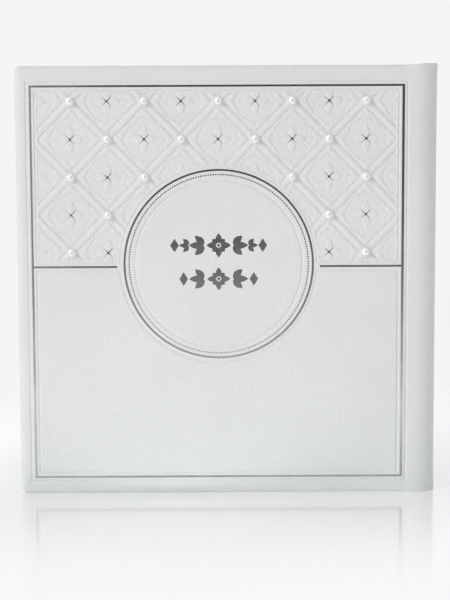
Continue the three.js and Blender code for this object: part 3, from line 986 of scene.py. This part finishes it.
def kraft_finish():
    f = Finish("kraft_paper", Specular_IOR_Level=0.25)
    ribs = f.wave(900, f.stretched((1.0, 0.2, 1.0)), 3.0, "Z")
    strands = f.noise(1100, 5.0, 0.7)
    tone = f.math("ADD", f.math("MULTIPLY", strands, 0.7), f.math("MULTIPLY", ribs, 0.25))
    f.set("Base Color", f.ramp(tone, [(0.3, (0.34, 0.22, 0.12)), (0.7, (0.50, 0.35, 0.21))]))
    f.set("Roughness", f.span(strands, 0.6, 0.85))
    return f.bump([(strands, 0.4, 0.04)])


def mull_finish():
    f = Finish("mull_weave", Specular_IOR_Level=0.2, Sheen_Weight=0.25)
    warp = f.wave(180, f.coords, 0.6, "Y")
    weft = f.wave(180, f.coords, 0.6, "Z")
    weave = f.math("MAXIMUM", warp, weft)
    f.set("Base Color", f.ramp(weave, [(0.2, (0.42, 0.39, 0.33)), (0.7, (0.80, 0.77, 0.70))]))
    f.set("Roughness", f.span(f.noise(2500), 0.8, 0.95))
    return f.bump([(weave, 0.8, 0.1)])


def silk_finish():
    f = Finish("band_silk", Specular_IOR_Level=0.5, Sheen_Weight=0.4, Sheen_Roughness=0.35)
    stripe = f.wave(246.84, f.coords, 0.15, "Y")
    thread_lines = f.noise(3000, 2.0, 0.5, f.stretched((0.15, 1.0, 0.15)))
    f.set("Base Color", f.ramp(stripe, [(0.35, (0.80, 0.81, 0.82)), (0.65, (0.52, 0.54, 0.57))]))
    f.set("Roughness", f.span(thread_lines, 0.35, 0.6))
    return f.bump([(thread_lines, 0.5, 0.03)])


def thread_finish():
    f = Finish("waxed_thread", Specular_IOR_Level=0.4, Sheen_Weight=0.2)
    twist = f.wave(600, f.coords, 0.5, "DIAGONAL")
    f.set("Base Color", f.ramp(twist, [(0.2, (0.62, 0.60, 0.55)), (0.8, (0.86, 0.84, 0.79))]))
    f.set("Roughness", f.span(f.noise(2200), 0.45, 0.7))
    return f.bump([(twist, 0.6, 0.05)])


def paint(objects, material):
    for o in objects:
        o.data.materials.clear()
        o.data.materials.append(material)


# -------------------- the book

random = np.random.default_rng(7)

front_cover = cover_leather("front_cover_leather", -1, True)
back_cover = cover_leather("back_cover_leather", 1, False)
for piece, side, word in ((front_cover, -1, "front"), (back_cover, 1, "back")):
    hang(piece, side)
    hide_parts(f"{word}_leather", f"{word}_foam_pad")

spine_skin = spine_leather()
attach(spine_skin, "spine")
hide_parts("spine_leather", "spine_foam_strip")

foils = foil_pieces()
pearls = [pearl_piece(name) for name in pearl_names]
leaves = [section_piece(number, random) for number in range(1, 9)]
ends = endpapers(-1, "front") + endpapers(1, "back")
bands = [band_piece("headband", True), band_piece("tailband", False)]

nodes = frame["nodes"]
paint([front_cover, back_cover, spine_skin], leather_finish())
paint(foils, foil_finish())
paint(pearls, pearl_finish())
paint(leaves, paper_finish("page_paper", (0.70, 0.685, 0.64), (0.80, 0.79, 0.755)))
paint(ends + [nodes["front_pastedown"], nodes["back_pastedown"]],
      paper_finish("end_paper", (0.76, 0.76, 0.75), (0.86, 0.86, 0.85), 700))
paint([nodes["front_board"], nodes["back_board"], nodes["spine_card"]], board_finish())
paint([nodes["spine_liner"]], kraft_finish())
paint([nodes["mull_cloth"]], mull_finish())
paint(bands, silk_finish())
paint([nodes[n] for n in nodes if n.startswith("sewing_thread")], thread_finish())


# -------------------- stage, lights and camera

BRIGHT = 0.913  # glow of the table and the backdrop
MATTE_SHARE = 0.2
MATTE_GREY = 0.37
MATTE_REACH = (0.05, 0.20)  # metres from the book where the matte share starts to fade and is gone
MIRROR_SHARE = 0.53
MIRROR_REACH = (0.0156, 0.15)
MIRROR_HALF_WIDTH = (0.078, 0.105)


def stage_object(name, points, faces, material):
    mesh = bpy.data.meshes.new(name)
    mesh.from_pydata(points, [], faces)
    mesh.materials.append(material)
    for polygon in mesh.polygons:
        polygon.use_smooth = True
    made = bpy.data.objects.new(name, mesh)
    bpy.context.scene.collection.objects.link(made)
    return made


def glow_material(name, strength, colour=(1, 1, 1)):
    material = bpy.data.materials.new(name)
    material.use_nodes = True
    tree = material.node_tree
    tree.nodes.clear()
    out = tree.nodes.new("ShaderNodeOutputMaterial")
    glow = tree.nodes.new("ShaderNodeEmission")
    glow.inputs["Color"].default_value = (*colour, 1)
    glow.inputs["Strength"].default_value = strength
    tree.links.new(glow.outputs["Emission"], out.inputs["Surface"])
    return material, tree, glow, out


def floor_material():
    """A bright table top. Round the book it is partly matte, to take its shadow, with a shine over it."""
    material, tree, glow, out = glow_material("table_top", BRIGHT)
    link = tree.links.new

    def add(kind):
        return tree.nodes.new("ShaderNode" + kind)

    def fade(distance, inner, outer, way="LINEAR", full=1.0):
        """Full up to inner metres and 0 beyond outer."""
        fall = add("MapRange")
        fall.interpolation_type = way
        for key, value in (("From Min", inner), ("From Max", outer), ("To Min", full), ("To Max", 0.0)):
            fall.inputs[key].default_value = value
        link(distance, fall.inputs["Value"])
        return fall.outputs["Result"]

    def near_book(reach):
        """A round fade about the book's foot, long along X."""
        coords, stretch, length = add("TexCoord"), add("Mapping"), add("VectorMath")
        stretch.inputs["Scale"].default_value = (0.15, 1.0, 1.0)
        length.operation = "LENGTH"
        link(coords.outputs["Object"], stretch.inputs["Vector"])
        link(stretch.outputs["Vector"], length.inputs[0])
        return fade(length.outputs["Value"], *reach, "SMOOTHSTEP")

    def in_line():
        """The mirror's share straight before and behind the book, 0 to its sides."""
        coords, split, size = add("TexCoord"), add("SeparateXYZ"), add("Math")
        size.operation = "ABSOLUTE"
        link(coords.outputs["Object"], split.inputs["Vector"])
        link(split.outputs["X"], size.inputs[0])
        return fade(size.outputs["Value"], *MIRROR_HALF_WIDTH, full=MIRROR_SHARE)

    dim, matte, both = add("Emission"), add("BsdfDiffuse"), add("AddShader")
    dim.inputs["Strength"].default_value = BRIGHT * (1 - MATTE_SHARE)
    matte.inputs["Color"].default_value = (*[MATTE_GREY] * 3, 1)
    link(dim.outputs["Emission"], both.inputs[0])
    link(matte.outputs["BSDF"], both.inputs[1])

    base = add("MixShader")
    link(near_book(MATTE_REACH), base.inputs["Fac"])
    link(glow.outputs["Emission"], base.inputs[1])
    link(both.outputs["Shader"], base.inputs[2])

    shine, top, share = add("BsdfGlossy"), add("MixShader"), add("Math")
    shine.inputs["Roughness"].default_value = 0.12
    shine.inputs["Color"].default_value = (0.785, 0.80, 0.835, 1)
    share.operation = "MULTIPLY"
    link(near_book(MIRROR_REACH), share.inputs[0])
    link(in_line(), share.inputs[1])
    link(share.outputs["Value"], top.inputs["Fac"])
    link(base.outputs["Shader"], top.inputs[1])
    link(shine.outputs["BSDF"], top.inputs[2])
    link(top.outputs["Shader"], out.inputs["Surface"])
    return material


def dome(radius, n=48, rows=12):
    """A half sphere over the table, its rim 10 mm below the top of it."""
    points = [(0, 0, radius)]
    for r in range(rows):
        polar = math.pi / 2 * (r + 1) / rows
        level = radius * math.cos(polar) - (0.0 if r < rows - 1 else 0.01)
        points += [(x, y, level) for x, y in circle(0, 0, radius * math.sin(polar), n).tolist()]
    faces = [[0, 1 + k, 1 + (k + 1) % n] for k in range(n)]
    for r in range(rows - 1):
        a, b = 1 + r * n, 1 + (r + 1) * n
        faces += [[a + k, b + k, b + (k + 1) % n, a + (k + 1) % n] for k in range(n)]
    return points, faces


ROOM = 4.0
corners = [(-ROOM, -ROOM, 0), (ROOM, -ROOM, 0), (ROOM, ROOM, 0), (-ROOM, ROOM, 0)]
stage_object("floor", corners, [[0, 1, 2, 3]], floor_material())
walls = stage_object("backdrop", *dome(ROOM * 0.95), glow_material("backdrop_glow", BRIGHT)[0])
walls.visible_diffuse = False

# Dark cards for the foil to mirror. Three lie before the book and the last one stands.
CARD_X = (-0.20, 0.72)
CARD_YZ = [(-0.25, 0.004), (-0.45, 0.004), (-0.70, 0.004), (-0.95, 0.004), (-0.95, 0.7)]
CARD_GLOW = (0.50, 0.26, 0.12, 0.065)
for k, (near, far, strength) in enumerate(zip(CARD_YZ, CARD_YZ[1:], CARD_GLOW)):
    corners = [(x, y, z) for y, z in (near, far) for x in CARD_X]
    grey = glow_material(f"card_grey_{k}", strength)[0]
    card = stage_object(f"dark_card_{k}", corners, [[0, 1, 3, 2]], grey)
    card.visible_camera = False
    card.visible_diffuse = False
    card.visible_shadow = False


def area_light(name, at, target, size, power, colour=(1, 1, 1)):
    data = bpy.data.lights.new(name, "AREA")
    data.shape = "DISK"
    data.size = size
    data.energy = power
    data.color = colour
    made = bpy.data.objects.new(name, data)
    made.location = at
    made.rotation_euler = (Vector(target) - Vector(at)).to_track_quat("-Z", "Y").to_euler()
    bpy.context.scene.collection.objects.link(made)
    return made


MIDDLE = (0.0, 0.0, HEIGHT * MM / 2)
area_light("key", (-1.30, -0.95, 1.10), MIDDLE, size=0.6, power=15.9)
area_light("fill", (0.65, -1.2, 0.30), MIDDLE, size=1.0, power=1.5, colour=(0.95, 0.97, 1.0))
bounce = area_light("bounce", (-0.02, -0.105, 0.002), (-0.02, -0.105, 1.0), size=0.19, power=0.036)
bounce.visible_camera = False
bounce.visible_glossy = False
area_light("top", (-0.1, -0.05, 1.25), MIDDLE, size=0.5, power=1.2)
area_light("behind", (0.5, 1.3, 1.0), MIDDLE, size=1.0, power=6.0)

world = bpy.data.worlds.new("studio")
bpy.context.scene.world = world
world.use_nodes = True
sky = world.node_tree.nodes["Background"]
sky.inputs["Color"].default_value = (0.97, 0.985, 1.0, 1)
sky.inputs["Strength"].default_value = 0.3
bpy.context.scene.view_settings.view_transform = "Standard"

CAMERA_AT = Vector((-0.001075, -0.6046, 0.14113))
CAMERA_TO = Vector((-0.000868, -0.009025, 0.068556))
CAMERA_ROLL = math.radians(-0.261)

camera = bpy.data.objects.new("camera", bpy.data.cameras.new("camera"))
camera.data.lens = 103.42
camera.data.sensor_width = 36
forward = (CAMERA_TO - CAMERA_AT).normalized()
right = forward.cross(Vector((0, 0, 1))).normalized()
up = right.cross(forward)
c, s = math.cos(CAMERA_ROLL), math.sin(CAMERA_ROLL)
turn = Matrix((c * right + s * up, c * up - s * right, -forward)).transposed().to_4x4()
camera.matrix_world = Matrix.Translation(CAMERA_AT) @ turn
bpy.context.scene.collection.objects.link(camera)
bpy.context.scene.camera = camera
